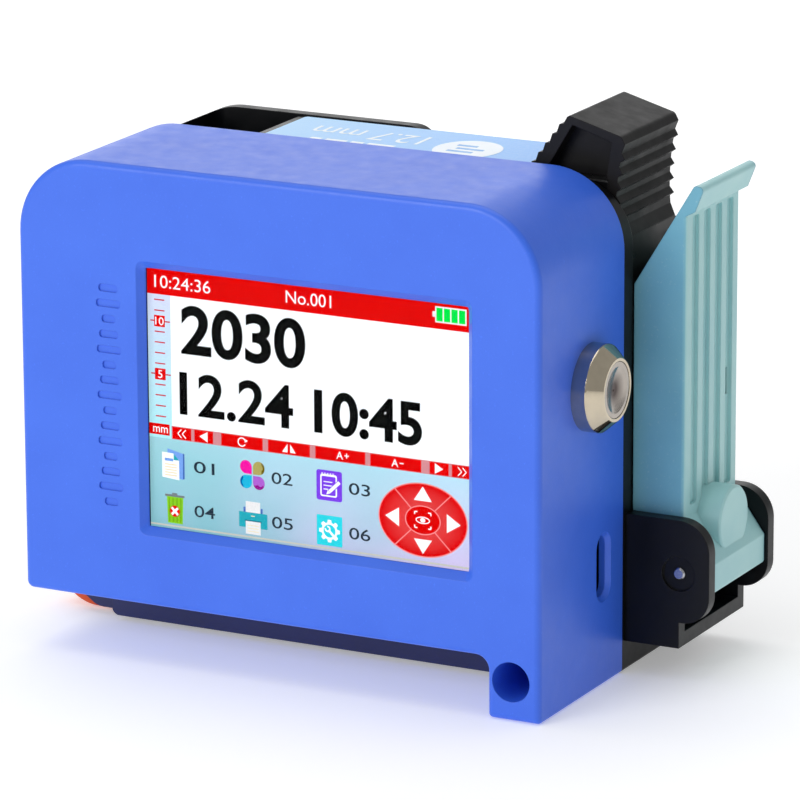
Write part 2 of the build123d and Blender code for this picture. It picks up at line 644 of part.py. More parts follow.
with BuildPart() as nozzle_plate:
    block((snout_left + 3, snout_right - 3), (mid_y - 8.5, mid_y + 8.5), (snout_bottom - 0.4, snout_bottom))
    for dx in (-1.2, 1.2):
        block((snout_left / 2 + snout_right / 2 + dx - 0.2, snout_left / 2 + snout_right / 2 + dx + 0.2),
              (mid_y - 6.35, mid_y + 6.35), (snout_bottom - 0.5, snout_bottom - 0.2), Mode.SUBTRACT)
keep(nozzle_plate, "nozzle_plate")

with BuildPart() as contact_flex:
    block((cartridge_left - 0.15, cartridge_left), (mid_y - 9.0, mid_y + 9.0), (stall_floor + 2.0, 40.0))
keep(contact_flex, "contact_flex")

# grip handle: stair steps up the sloping side, ribs down the far side
step_count, step_run, step_rise = 5, 1.5, 2.0
rib_count, rib_pitch, rib_height = 5, 2.92, 0.9
rib_top = handle_apex_z - 6.5
brow = (handle_apex_x + 11.4, handle_apex_z - 3.2)
recess_depth = 3.2


def grip_x(z):
    """The hollow line of the handle's ribbed side."""
    return cartridge_right - 1.2 + 0.0097 * (z - rib_top + 10.6) ** 2


steps = [(handle_left - 0.9, cartridge_top)]
for n in range(step_count):
    foot = handle_apex_x - (step_count - n) * step_run
    height = handle_apex_z - (step_count - n) * step_rise
    steps += [(foot - 0.4, height), (foot + 0.5, height + 0.2)]
ribs = []
for n in range(rib_count):
    z = rib_top - n * rib_pitch
    ribs += [(grip_x(z), z), (grip_x(z - 1.2) + rib_height, z - 1.2), (grip_x(z - 1.7), z - 1.9)]

with BuildPart() as cartridge_handle:
    with BuildSketch(plane_y(cart_y[0])) as side:
        with BuildLine():
            Polyline(steps + [(handle_apex_x, handle_apex_z), brow, (brow[0] + 0.8, brow[1] - 1.5)] + ribs
                     + [(grip_x(handle_low + 2.4), handle_low + 2.4), (cartridge_right, handle_low),
                        (handle_inner, handle_low),
                        (handle_inner, cartridge_top)], close=True)
        make_face()
        fillet(side.vertices().sort_by_distance((handle_apex_x, handle_apex_z))[0], 0.8)
        fillet(side.vertices().sort_by_distance(brow)[0], 1.1)
    extrude(amount=-cartridge_width)
    for start in (cart_y[0], cart_y[1] - recess_depth):
        with BuildSketch(plane_y(start)) as recess:
            with BuildLine():
                Polyline((handle_left + 1.4, cartridge_top), (handle_apex_x + 0.9, handle_apex_z - 1.9),
                         (handle_inner + 0.8, handle_apex_z - 4.5), (handle_inner - 0.2, cartridge_top + 1.6),
                         (handle_inner - 0.4, cartridge_top), close=True)
            make_face()
        extrude(recess.sketch, amount=-recess_depth, mode=Mode.SUBTRACT)
keep(cartridge_handle, "cartridge_handle")

# ---------------------------------------------------------------- print base and guide roller
base_top = shell_bottom
base_back = back_y - 0.4
base_right = foot_x - foot_fillet - 0.2
arm_near = (25.8, 25.8 + arm_thickness)
arm_far = (bay_y[1] - arm_thickness - 0.6, bay_y[1] - 0.6)
base_bolts = [(x, y) for y in (28.0, back_y - 5.0) for x in (16.0, base_right - 3.8)]


arm_left, arm_right = roller_x - 4.2, bay_right - 0.4
arm_low, arm_top = 1.4, axle_z + 4.4
bush_r = 3.0


def arm(y):
    """Rounded arm that carries one end of the roller axle."""
    with BuildSketch(plane_y(y[0])) as face:
        with BuildLine():
            Polyline((arm_right, arm_low), (1.4, arm_low), (arm_left, 6.0), (arm_left, arm_top),
                     (arm_right, arm_top), close=True)
        make_face()
        fillet(face.vertices().sort_by_distance((1.4, arm_low))[0], 4.0)
        fillet(face.vertices().sort_by_distance((arm_left, 6.0))[0], 3.0)
        fillet(face.vertices().sort_by_distance((arm_left, arm_top))[0], 3.0)
    extrude(face.sketch, amount=-(y[1] - y[0]))
    rod_y(roller_x, axle_z, bush_r, (y[0] - 1, y[1] + 1), Mode.SUBTRACT)


with BuildPart() as print_base:
    with BuildSketch(plane_y(base_front)) as section:
        with Locations(((base_left + base_right) / 2, (base_bottom + base_top) / 2)):
            Rectangle(base_right - base_left, base_top - base_bottom)
        fillet(section.vertices().group_by(Axis.Y)[0].sort_by(Axis.X)[0], 1.6)
    extrude(amount=-(base_back - base_front))
    block((base_left + base_wall, base_right - base_wall), (base_front + base_wall, base_back - base_wall),
          (base_bottom + 2.2, base_top + 1), Mode.SUBTRACT)
    block((base_left - 1, bay_right - 0.6), (arm_near[0], arm_far[1]), (base_bottom - 1, base_top + 1),
          Mode.SUBTRACT)
    block((bay_right - 0.6, bay_right + 1.6), (arm_near[0] - 1, arm_far[1] + 1), (base_bottom, base_top))
    arm(arm_near)
    arm(arm_far)
    block((snout_left - 3.2, snout_right + 3.2), (stall_y - 0.4, stall_back + 0.4), (base_bottom, base_top))
    block((snout_left - 1.0, snout_right + 1.0), (stall_y + 1.6, stall_back - 1.6),
          (base_bottom - 1, base_top + 1), Mode.SUBTRACT)
    for x, y in base_bolts:
        rod_z_at(x, y, 3.2, (base_bottom, base_top))
        rod_z_at(x, y, screw_r + 0.2, (base_bottom - 1, base_top + 1), Mode.SUBTRACT)
        rod_z_at(x, y, 2.5, (base_bottom - 1, base_bottom + 1.7), Mode.SUBTRACT)
keep(print_base, "print_base")

with BuildPart() as base_screws:
    for x, y in base_bolts:
        rod_z_at(x, y, screw_r, (base_bottom + 1.7, base_top))
        rod_z_at(x, y, 2.2, (base_bottom + 0.3, base_bottom + 1.7))
        rod_z_at(x, y, 0.8, (base_bottom, base_bottom + 0.9), Mode.SUBTRACT)
keep(base_screws, "base_screws")

with BuildPart() as axle_bushes:
    for y in (arm_near, arm_far):
        rod_y(roller_x, axle_z, bush_r - 0.02, y)
        rod_y(roller_x, axle_z, axle_r + running, y, Mode.SUBTRACT)
keep(axle_bushes, "axle_bushes")

wheel_spots = (arm_near[1] + 0.5, arm_far[0] - 0.5 - tyre_width)
with BuildPart() as roller_axle:
    rod_y(roller_x, axle_z, axle_r, (arm_near[0] - 0.4, arm_far[1] + 0.4))
    chamfer(roller_axle.edges().filter_by(GeomType.CIRCLE), 0.3)
keep(roller_axle, "roller_axle")

with BuildPart() as roller_hubs:
    for y in wheel_spots:
        rod_y(roller_x, axle_z, hub_r, (y, y + tyre_width))
        rod_y(roller_x, axle_z, axle_r, (y - 1, y + tyre_width + 1), Mode.SUBTRACT)
        rod_y(roller_x, axle_z, hub_r - 1.4, (y - 1, y + 1.2), Mode.SUBTRACT)
        rod_y(roller_x, axle_z, axle_r + 1.4, (y, y + 1.2))
        rod_y(roller_x, axle_z, axle_r, (y - 1, y + 1.3), Mode.SUBTRACT)
keep(roller_hubs, "roller_hubs")

with BuildPart() as roller_tyres:
    for y in wheel_spots:
        rod_y(roller_x, axle_z, tyre_r, (y, y + tyre_width))
        rod_y(roller_x, axle_z, hub_r, (y, y + tyre_width), Mode.SUBTRACT)
    outer = roller_tyres.edges().filter_by(GeomType.CIRCLE).filter_by(lambda e: abs(e.radius - tyre_r) < 0.01)
    fillet(outer, 1.0)
keep(roller_tyres, "roller_tyres")

disc_y = mid_y - 4.0
with BuildPart() as encoder_disc:
    rod_y(roller_x, axle_z, 7.4, (disc_y, disc_y + 0.8))
    rod_y(roller_x, axle_z, 3.6, (disc_y - 2.0, disc_y + 2.8))
    rod_y(roller_x, axle_z, axle_r, (disc_y - 3, disc_y + 4), Mode.SUBTRACT)
    for n in range(18):
        a = 2 * pi * n / 18
        rod_y(roller_x + 6.1 * cos(a), axle_z + 6.1 * sin(a), 0.55, (disc_y - 1, disc_y + 2), Mode.SUBTRACT)
keep(encoder_disc, "encoder_disc")

with BuildPart() as encoder_sensor:
    sensor_x = (3.6, bay_right - 0.8)
    for y in (disc_y - 2.2, disc_y + 1.4):
        block(sensor_x, (y, y + 1.6), (axle_z - 2.4, axle_z + 2.4))
    block((sensor_x[1] - 1.6, sensor_x[1]), (disc_y - 2.2, disc_y + 3.0), (axle_z - 2.4, axle_z + 2.4))
keep(encoder_sensor, "encoder_sensor")

# ---------------------------------------------------------------- writing
os.makedirs("parts", exist_ok=True)
for piece in pieces:
    export_step(piece, f"parts/{piece.label}.step")
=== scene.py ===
import json
import math

import bmesh
import bpy
from mathutils import Matrix, Vector


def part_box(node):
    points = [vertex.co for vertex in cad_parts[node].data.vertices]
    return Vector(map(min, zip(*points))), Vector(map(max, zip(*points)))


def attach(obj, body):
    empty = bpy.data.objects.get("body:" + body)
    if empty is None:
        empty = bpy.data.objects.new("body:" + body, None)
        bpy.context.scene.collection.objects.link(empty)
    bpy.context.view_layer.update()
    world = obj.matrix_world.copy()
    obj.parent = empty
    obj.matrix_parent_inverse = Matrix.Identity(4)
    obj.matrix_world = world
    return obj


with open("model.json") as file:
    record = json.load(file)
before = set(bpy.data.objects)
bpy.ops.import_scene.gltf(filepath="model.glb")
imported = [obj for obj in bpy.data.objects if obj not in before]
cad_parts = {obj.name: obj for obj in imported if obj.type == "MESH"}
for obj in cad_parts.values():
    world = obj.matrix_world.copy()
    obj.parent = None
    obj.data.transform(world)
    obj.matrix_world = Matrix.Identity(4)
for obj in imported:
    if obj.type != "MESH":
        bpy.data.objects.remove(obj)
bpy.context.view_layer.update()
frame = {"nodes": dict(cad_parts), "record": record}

MM = 0.001           # the scene is in metres
NO_LIGHT = (0.0, 0.0, 0.0, 1.0)


# ---------------------------------------------------------------- colour and node helpers
def srgb(red, green, blue):
    """A screen colour, 0 to 255, as linear light."""
    def linear(value):
        value /= 255
        return value / 12.92 if value <= 0.04045 else ((value + 0.055) / 1.055) ** 2.4
    return (linear(red), linear(green), linear(blue), 1.0)


class Shader:
    """A material under construction: its node tree, its surface shader and short ways to add to them."""

    def __init__(self, name):
        self.material = bpy.data.materials.new(name)
        self.material.use_nodes = True
        self.tree = self.material.node_tree
        self.surface = self.tree.nodes["Principled BSDF"]
        self.place = self.add("ShaderNodeTexCoord").outputs["Object"]

    def add(self, kind, inputs=None, **settings):
        node = self.tree.nodes.new(kind)
        for key, value in settings.items():
            setattr(node, key, value)
        for key, value in (inputs or {}).items():
            if isinstance(value, bpy.types.NodeSocket):
                self.tree.links.new(value, node.inputs[key])
            else:
                node.inputs[key].default_value = value
        return node

    def set(self, **sockets):
        for name, value in sockets.items():
            socket = self.surface.inputs[name.replace("_", " ")]
            if isinstance(value, bpy.types.NodeSocket):
                self.tree.links.new(value, socket)
            else:
                socket.default_value = value

    def stretched(self, scale):
        return self.add("ShaderNodeMapping", {"Vector": self.place, "Scale": scale}).outputs["Vector"]

    def noise(self, size, detail=3.0, vector=None):
        """Noise whose features are about size metres across."""
        return self.add("ShaderNodeTexNoise", {"Vector": vector or self.place, "Scale": 1 / size,
                                               "Detail": detail, "Roughness": 0.55}).outputs["Fac"]

    def between(self, factor, low, high, start=0.3, stop=0.7):
        return self.add("ShaderNodeMapRange", {"Value": factor, "From Min": start, "From Max": stop,
                                               "To Min": low, "To Max": high}).outputs["Result"]

    def mix(self, factor, first, second):
        node = self.add("ShaderNodeMix", data_type="RGBA")
        for socket, value in ((node.inputs[0], factor), (node.inputs[6], first), (node.inputs[7], second)):
            if isinstance(value, bpy.types.NodeSocket):
                self.tree.links.new(value, socket)
            else:
                socket.default_value = value
        return node.outputs[2]

    def math(self, operation, first, second=0.0):
        node = self.add("ShaderNodeMath", operation=operation)
        for socket, value in ((node.inputs[0], first), (node.inputs[1], second)):
            if isinstance(value, bpy.types.NodeSocket):
                self.tree.links.new(value, socket)
            else:
                socket.default_value = value
        return node.outputs[0]

    def bump(self, height, depth, normal=None):
        inputs = {"Height": height, "Distance": depth, "Strength": 1.0}
        if normal:
            inputs["Normal"] = normal
        return self.add("ShaderNodeBump", inputs).outputs["Normal"]

    def soft_edges(self, radius):
        return self.add("ShaderNodeBevel", {"Radius": radius}, samples=4).outputs["Normal"]


SPECKS = (0.62, 0.78)    # the part of a noise's range that shows as specks


def moulded(name, tone, shade, rough=(0.38, 0.5), blotch=18 * MM, grain=0.35 * MM, depth=0.006 * MM,
            edge=0.25 * MM, **sockets):
    """Moulded plastic or rubber: uneven colour, a fine spark-eroded grain and softened edges."""
    shader = Shader(name)
    cloud = shader.noise(blotch, 4.0)
    speck = shader.noise(grain * 1.6, 2.0)
    colour = shader.mix(shader.between(cloud, 0.0, 1.0), tone, shade)
    pale = tuple(min(1.0, value * 1.35 + 0.012) for value in tone[:3]) + (1.0,)
    colour = shader.mix(shader.between(speck, 0.0, 0.35, *SPECKS), colour, pale)
    shader.set(Base_Color=colour, Roughness=shader.between(shader.noise(blotch / 5), *rough))
    normal = shader.soft_edges(edge) if edge else None
    shader.set(Normal=shader.bump(shader.noise(grain, 2.0), depth, normal), **sockets)
    return shader.material


def metal(name, tone, rough=(0.18, 0.3), along=(1, 1, 1), line=0.08 * MM, depth=0.002 * MM, **sockets):
    """Metal with fine drawn or turned lines; along shortens the noise across the lines."""
    shader = Shader(name)
    lines = shader.noise(line, 3.0, shader.stretched(along))
    worn = shader.noise(3 * MM, 4.0)
    dark = tuple(value * 0.72 for value in tone[:3]) + (1.0,)
    shader.set(Base_Color=shader.mix(shader.between(worn, 0.0, 0.6), tone, dark), Metallic=1.0,
               Roughness=shader.between(lines, *rough),
               Normal=shader.bump(lines, depth, shader.soft_edges(0.12 * MM)), **sockets)
    return shader.material


def turned(name, tone, painted_reflection_core, centre, rough, ring, depth):
    """Polished metal turned about an axis along X through centre, with faint concentric tool marks.

    The colour runs from a painted dark reflection at the middle to tone away from it.
    """
    shader = Shader(name)
    split = shader.add("ShaderNodeSeparateXYZ", {"Vector": shader.place}).outputs
    across = shader.math("SUBTRACT", split["Y"], centre.y)
    up = shader.math("SUBTRACT", split["Z"], centre.z)
    square = shader.math("ADD", shader.math("MULTIPLY", across, across), shader.math("MULTIPLY", up, up))
    radius = shader.math("SQRT", square)
    rings = shader.math("SINE", shader.math("MULTIPLY", radius, 2 * math.pi / ring))
    smear = shader.noise(2.5 * MM, 4.0)
    # painted reflection: the colour darkens towards the middle of the turned face
    colour = shader.mix(shader.between(radius, 0.0, 1.0, 1.2 * MM, 3.8 * MM), painted_reflection_core, tone)
    # smudges and painted reflection: patches up to a tenth darker along the smear noise
    smudge_and_reflection_dark = shader.mix(0.2, colour, NO_LIGHT)
    shader.set(Base_Color=shader.mix(shader.between(smear, 0.0, 0.5), colour, smudge_and_reflection_dark), Metallic=1.0,
               Roughness=shader.between(smear, *rough),
               Normal=shader.bump(rings, depth, shader.soft_edges(0.15 * MM)))
    return shader.material


BACKLIGHT = 0.86     # strength of the display's glow
UNLIT = 0.3          # share of a display colour that shows by reflected light


def backlit(shader, colour):
    """Give a display colour its glow, with a faint weave of picture cells."""
    weave = shader.between(shader.noise(0.22 * MM, 0.0), 0.0, 0.06)
    colour = shader.mix(weave, colour, NO_LIGHT)
    shader.set(Base_Color=shader.mix(UNLIT, NO_LIGHT, colour), Emission_Color=colour,
               Emission_Strength=BACKLIGHT, Roughness=0.45, Specular_IOR_Level=0.0)
    return shader.material


def lit(name, tone):
    """One even colour of the display's picture."""
    return backlit(Shader(name), tone)


# ---------------------------------------------------------------- the frame's places
glass_low, glass_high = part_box("touch_glass")
GLASS_MARGIN = 2.0 * MM          # glass hidden behind the bezel on each side
WINDOW_LEFT = glass_low.x + GLASS_MARGIN
WINDOW_BOTTOM = glass_low.z + GLASS_MARGIN
WINDOW_WIDTH = glass_high.x - glass_low.x - 2 * GLASS_MARGIN
WINDOW_HEIGHT = glass_high.z - glass_low.z - 2 * GLASS_MARGIN
PICTURE_Y = glass_high.y + 0.28 * MM     # lowest layer of the picture, behind the glass
LAYER = 0.02 * MM                # step from one layer of the picture to the next
PLATE = 0.6 * LAYER              # thickness of one shape in the picture
bezel_low, bezel_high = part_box("button_bezel")
BUTTON_AXIS = (bezel_low + bezel_high) / 2


# ---------------------------------------------------------------- the display's picture
FORWARD = Vector((0, -1, 0))
UPWARD = Vector((0, 0, 1))


class Picture:
    """Flat shapes on the display, drawn in millimetres from the window's lower left corner."""

    def __init__(self, name):
        self.name = name
        self.mesh = bmesh.new()
        self.inks = []

    def point(self, u, v, layer):
        return Vector((WINDOW_LEFT + u * MM, PICTURE_Y - layer * LAYER, WINDOW_BOTTOM + v * MM))

    def ink(self, material):
        if material not in self.inks:
            self.inks.append(material)
        return self.inks.index(material)

    def shape(self, points, material, layer):
        corners = [self.mesh.verts.new(self.point(u, v, layer)) for u, v in points]
        add_face(self.mesh, corners, FORWARD, self.ink(material))

    def rect(self, low, high, material, layer, round_off=0.0):
        (u0, v0), (u1, v1) = low, high
        if not round_off:
            self.shape([(u0, v0), (u1, v0), (u1, v1), (u0, v1)], material, layer)
            return
        points = []
        for cu, cv, start in ((u1 - round_off, v0 + round_off, -90), (u1 - round_off, v1 - round_off, 0),
                              (u0 + round_off, v1 - round_off, 90), (u0 + round_off, v0 + round_off, 180)):
            points += arc((cu, cv), (round_off, round_off), start, start + 90, 6)
        self.shape(points, material, layer)

    def oval(self, centre, radii, material, layer, count=72):
        self.shape(arc(centre, radii, 0, 360, count)[:-1], material, layer)

    def band(self, centre, radii, width, material, layer, start=0, stop=360, count=64):
        """A ring or part of one, as a strip of quads."""
        outer = arc(centre, radii, start, stop, count)
        inner = arc(centre, (radii[0] - width, radii[1] - width), start, stop, count)
        for i in range(count):
            self.shape([outer[i], outer[i + 1], inner[i + 1], inner[i]], material, layer)

    def line(self, first, last, width, material, layer):
        a, b = Vector(first), Vector(last)
        side = (b - a).normalized().orthogonal() * width / 2
        self.shape([a + side, b + side, b - side, a - side], material, layer)

    def words(self, text, left, bottom, height, material, layer, bold=0.0, width=None):
        """Figures in the built-in typeface, set to a height and, if asked, to a width."""
        outlines, proportion = figures(text, bold)
        width = width or height * proportion
        corners = {}
        for outline in outlines:
            for place in outline:
                if place not in corners:
                    spot = self.point(left + place[0] * width, bottom + place[1] * height, layer)
                    corners[place] = self.mesh.verts.new(spot)
            ring = [corners[place] for place in outline]
            if not self.mesh.faces.get(ring):
                add_face(self.mesh, ring, FORWARD, self.ink(material))

    def finish(self):
        thicken(self.mesh, PLATE)
        data = bpy.data.meshes.new(self.name)
        self.mesh.to_mesh(data)
        self.mesh.free()
        for material in self.inks:
            data.materials.append(material)
        piece = bpy.data.objects.new(self.name, data)
        bpy.context.collection.objects.link(piece)
        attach(piece, "printer")
        return piece


def figures(text, bold=0.0):
    """Outlines of a text in the built-in typeface, from 0 to 1 across and up, and its width over height."""
    curve = bpy.data.curves.new("figures", "FONT")
    curve.body = text
    curve.offset = bold
    holder = bpy.data.objects.new("figures", curve)
    bpy.context.collection.objects.link(holder)
    bpy.context.view_layer.update()
    flat = bpy.data.meshes.new_from_object(holder.evaluated_get(bpy.context.evaluated_depsgraph_get()))
    bpy.data.objects.remove(holder)
    places = [(round(vertex.co.x, 5), round(vertex.co.y, 5)) for vertex in flat.vertices]
    left, right = min(x for x, y in places), max(x for x, y in places)
    low, high = min(y for x, y in places), max(y for x, y in places)
    outlines = []
    for polygon in flat.polygons:
        outline = []
        for i in polygon.vertices:
            place = ((places[i][0] - left) / (right - left), (places[i][1] - low) / (high - low))
            if place not in outline:
                outline.append(place)
        if len(outline) > 2:
            outlines.append(outline)
    return outlines, (right - left) / (high - low)


def add_face(mesh, corners, outward, index):
    """A flat face turned to look outward, with the material of that index."""
    face = mesh.faces.new(corners)
    face.normal_update()
    if face.normal.dot(outward) < 0:
        face.normal_flip()
    face.material_index = index


def thicken(mesh, depth):
    """Turn flat faces into closed plates of that depth."""
    mesh.normal_update()
    bmesh.ops.solidify(mesh, geom=mesh.faces[:], thickness=depth)


def arc(centre, radii, start, stop, count):
    turn = [math.radians(start + (stop - start) * i / count) for i in range(count + 1)]
    return [(centre[0] + radii[0] * math.cos(a), centre[1] + radii[1] * math.sin(a)) for a in turn]


RED = lit("picture_red", srgb(226, 0, 0))
WHITE = lit("picture_white", srgb(255, 255, 255))
BLACK = lit("picture_black", srgb(0, 0, 0))
GREEN = lit("picture_green", srgb(0, 232, 70))
PINK = lit("picture_pink", srgb(246, 150, 150))
ROSE_GREY = lit("picture_rose_grey", srgb(214, 140, 146))
TICK = lit("picture_tick", srgb(206, 44, 60))
LABEL_INK = lit("picture_label_ink", srgb(38, 52, 66))
SKY = lit("picture_sky", srgb(120, 165, 235))
NAVY = lit("picture_navy", srgb(70, 110, 190))
CREAM = lit("picture_cream", srgb(240, 226, 190))
TEAL = lit("picture_teal", srgb(36, 168, 184))
DEEP_TEAL = lit("picture_deep_teal", srgb(20, 120, 140))
MAGENTA = lit("picture_magenta", srgb(246, 20, 160))
OLIVE = lit("picture_olive", srgb(176, 164, 92))
DARK_OLIVE = lit("picture_dark_olive", srgb(112, 98, 20))
CYAN = lit("picture_cyan", srgb(30, 182, 220))
BLUE = lit("picture_blue", srgb(0, 104, 172))
VIOLET = lit("picture_violet", srgb(176, 96, 206))
PLUM = lit("picture_plum", srgb(150, 20, 140))
PURPLE = lit("picture_purple", srgb(126, 62, 232))
LIME = lit("picture_lime", srgb(138, 205, 30))
DARK_LIME = lit("picture_dark_lime", srgb(104, 170, 22))
EDGE_GREY = lit("picture_edge_grey", srgb(206, 206, 198))
# painted shadow: a dark red line for the shadow the bezel's inner wall casts on the top of the display
BEZEL_SHADOW_RED = lit("picture_bezel_shadow", srgb(96, 6, 10))
GREY = lit("picture_grey", srgb(120, 128, 132))
PALE = lit("picture_pale", srgb(238, 236, 236))
AQUA = lit("picture_aqua", srgb(44, 214, 228))


def menu_backing():
    """Cyan at the left to lilac at the lower right, paler towards the top, in soft clouds."""
    shader = Shader("picture_menu_backing")
    split = shader.add("ShaderNodeSeparateXYZ", {"Vector": shader.place}).outputs
    across = shader.between(split["X"], 0.0, 1.0, WINDOW_LEFT, WINDOW_LEFT + WINDOW_WIDTH)
    up = shader.between(split["Z"], 0.0, 1.0, WINDOW_BOTTOM, WINDOW_BOTTOM + 18 * MM)
    cloud = shader.between(shader.noise(22 * MM, 1.0), -0.18, 0.18)
    drift = shader.math("ADD", across, cloud)
    low = shader.mix(drift, srgb(112, 190, 196), srgb(214, 200, 238))
    high = shader.mix(drift, srgb(160, 212, 222), srgb(190, 226, 244))
    return backlit(shader, shader.mix(up, low, high))


def ruler_backing():
    shader = Shader("picture_ruler_backing")
    split = shader.add("ShaderNodeSeparateXYZ", {"Vector": shader.place}).outputs
    up = shader.between(split["Z"], 0.0, 1.0, WINDOW_BOTTOM + 20 * MM, WINDOW_BOTTOM + 46 * MM)
    return backlit(shader, shader.mix(up, srgb(180, 238, 246), srgb(214, 222, 248)))


PAD_CENTRE = (59.75, 8.55)
PAD_RADII = (9.65, 7.45)


def pad_red():
    """Red that pales towards the pad's hub."""
    shader = Shader("picture_pad_red")
    split = shader.add("ShaderNodeSeparateXYZ", {"Vector": shader.place}).outputs
    across = shader.math("DIVIDE", shader.math("SUBTRACT", split["X"], WINDOW_LEFT + PAD_CENTRE[0] * MM),
                         PAD_RADII[0] * MM)
    up = shader.math("DIVIDE", shader.math("SUBTRACT", split["Z"], WINDOW_BOTTOM + PAD_CENTRE[1] * MM),
                     PAD_RADII[1] * MM)
    square = shader.math("ADD", shader.math("MULTIPLY", across, across), shader.math("MULTIPLY", up, up))
    return backlit(shader, shader.mix(shader.between(square, 0.0, 1.0, 0.1, 0.85), srgb(230, 64, 64),
                                      srgb(222, 6, 10)))


# Heights and widths of the picture's areas, in millimetres
HEADER_LOW = 46.9
STRIP = (17.9, 20.6)     # row of small keys
RULER_WIDTH = 4.6
MARGIN = 0.9             # how far the picture runs on behind the bezel
BOLD = 0.028             # thickening of the large figures


def draw_header():
    width, height = WINDOW_WIDTH / MM, WINDOW_HEIGHT / MM
    picture = Picture("display_header")
    picture.rect((-MARGIN, HEADER_LOW), (width + MARGIN, height + MARGIN), RED, 1)
    # painted shadow of the bezel along the header's top edge
    picture.rect((-MARGIN, height - 0.3), (width + MARGIN, height + MARGIN), BEZEL_SHADOW_RED, 2)
    picture.words("10:24:36", 1.1, 48.25, 2.5, WHITE, 2, width=12.5)
    picture.words("No.001", 30.2, 48.35, 2.5, WHITE, 2)
    picture.rect((62.5, 48.15), (69.2, 51.35), PALE, 2)
    picture.rect((61.9, 49.2), (62.5, 50.3), PALE, 2)
    for n in range(4):
        left = 62.78 + n * 1.6
        picture.rect((left, 48.45), (left + 1.32, 51.05), GREEN, 3)
    return picture.finish()


def draw_preview():
    width = WINDOW_WIDTH / MM
    picture = Picture("display_preview")
    picture.rect((RULER_WIDTH, STRIP[1]), (width + MARGIN, HEADER_LOW), WHITE, 1)
    picture.rect((width - 0.3, STRIP[1]), (width + MARGIN, HEADER_LOW), EDGE_GREY, 2)
    picture.words("2030", 6.9, 35.4, 10.0, BLACK, 2, BOLD, 27.5)
    picture.words("12.24", 6.4, 23.1, 8.8, BLACK, 2, 0.02, 25.2)
    picture.words("10:45", 36.2, 23.1, 8.8, BLACK, 2, BOLD, 23.4)
    return picture.finish()


def draw_ruler():
    picture = Picture("display_ruler")
    picture.rect((-MARGIN, STRIP[0]), (RULER_WIDTH, HEADER_LOW), ruler_backing(), 1)
    pitch, top, numbers = 2.14, 45.8, {2: "10", 7: "5"}
    for n in range(12):
        height = top - n * pitch
        number = numbers.get(n)
        if number:
            picture.line((0.1, height), (4.5, height), 0.26, TICK, 2)
            picture.rect((0.95, height - 1.15), (3.35, height + 1.15), RED, 3)
            room = 0.95 * len(number)
            picture.words(number, 2.15 - room / 2, height - 0.8, 1.6, WHITE, 4, 0.004, room)
        else:
            picture.line((1.0, height), (3.3, height), 0.26, TICK, 2)
    picture.rect((-MARGIN, 18.5), (4.05, 20.75), RED, 2)
    picture.words("mm", 0.35, 18.95, 1.15, WHITE, 3, 0.004, 3.3)
    return picture.finish()


def draw_strip():
    width = WINDOW_WIDTH / MM
    picture = Picture("display_buttons")
    low, high = STRIP
    mid = (low + high) / 2
    picture.rect((4.5, low), (width + MARGIN, high), ROSE_GREY, 2)
    keys = [(4.7, 8.9), (9.6, 13.8), (15.6, 24.8), (26.0, 35.2), (36.4, 47.3), (48.4, 59.4), (61.2, 65.3),
            (66.0, width + MARGIN)]
    for left, right in keys:
        picture.rect((left, low + 0.12), (right, high - 0.12), RED, 3)
    for turn, centre in ((1, 6.8), (-1, 68.2)):
        for shift in (-0.55, 0.45):
            tip = centre + (shift - 0.35) * turn
            for side in (-1, 1):
                picture.line((tip, mid), (tip + 0.8 * turn, mid + 0.85 * side), 0.2, WHITE, 4)
    for turn, centre in ((1, 11.7), (-1, 63.2)):
        picture.shape([(centre - 0.95 * turn, mid), (centre + 0.85 * turn, mid + 1.05),
                       (centre + 0.85 * turn, mid - 1.05)], WHITE, 4)
    picture.band((20.2, mid), (0.95, 0.95), 0.24, WHITE, 4, 30, 330, 28)
    picture.shape([(20.75, mid + 0.75), (21.55, mid + 0.35), (20.85, mid - 0.05)], WHITE, 4)
    for side in (-1, 1):
        picture.shape([(30.6 + 0.3 * side, mid - 0.85), (30.6 + 1.5 * side, mid - 0.85),
                       (30.6 + 0.3 * side, mid + 0.85)], WHITE, 4)
    for left in (41.0, 53.0):
        picture.words("A", left, mid - 0.75, 1.5, WHITE, 4, 0.01)
    picture.line((42.75, mid + 0.05), (43.75, mid + 0.05), 0.2, WHITE, 4)
    picture.line((43.25, mid - 0.45), (43.25, mid + 0.55), 0.2, WHITE, 4)
    picture.line((54.75, mid + 0.05), (55.65, mid + 0.05), 0.2, WHITE, 4)
    return picture.finish()


def draw_documents(picture, u, v):
    """Two sheets of paper, the front one written on. u, v is the icon's lower left corner."""
    picture.shape([(u + 1.3, v + 0.8), (u + 4.6, v + 0.2), (u + 5.0, v + 5.4), (u + 1.2, v + 6.2)], SKY, 3)
    picture.shape([(u + 4.6, v + 0.2), (u + 5.0, v + 0.4), (u + 5.0, v + 5.4), (u + 4.7, v + 5.6)], NAVY, 4)
    picture.shape([(u, v + 0.3), (u + 3.8, v), (u + 3.8, v + 4.0), (u + 2.6, v + 5.3), (u, v + 5.4)],
                  WHITE, 5)
    picture.shape([(u + 2.6, v + 5.3), (u + 2.6, v + 4.0), (u + 3.8, v + 4.0)], TEAL, 6)
    picture.rect((u + 0.6, v + 3.7), (u + 2.5, v + 4.25), SKY, 6)
    for n in range(5):
        picture.rect((u + 0.6, v + 0.7 + n * 0.55), (u + 3.3, v + 0.95 + n * 0.55), CREAM, 6)


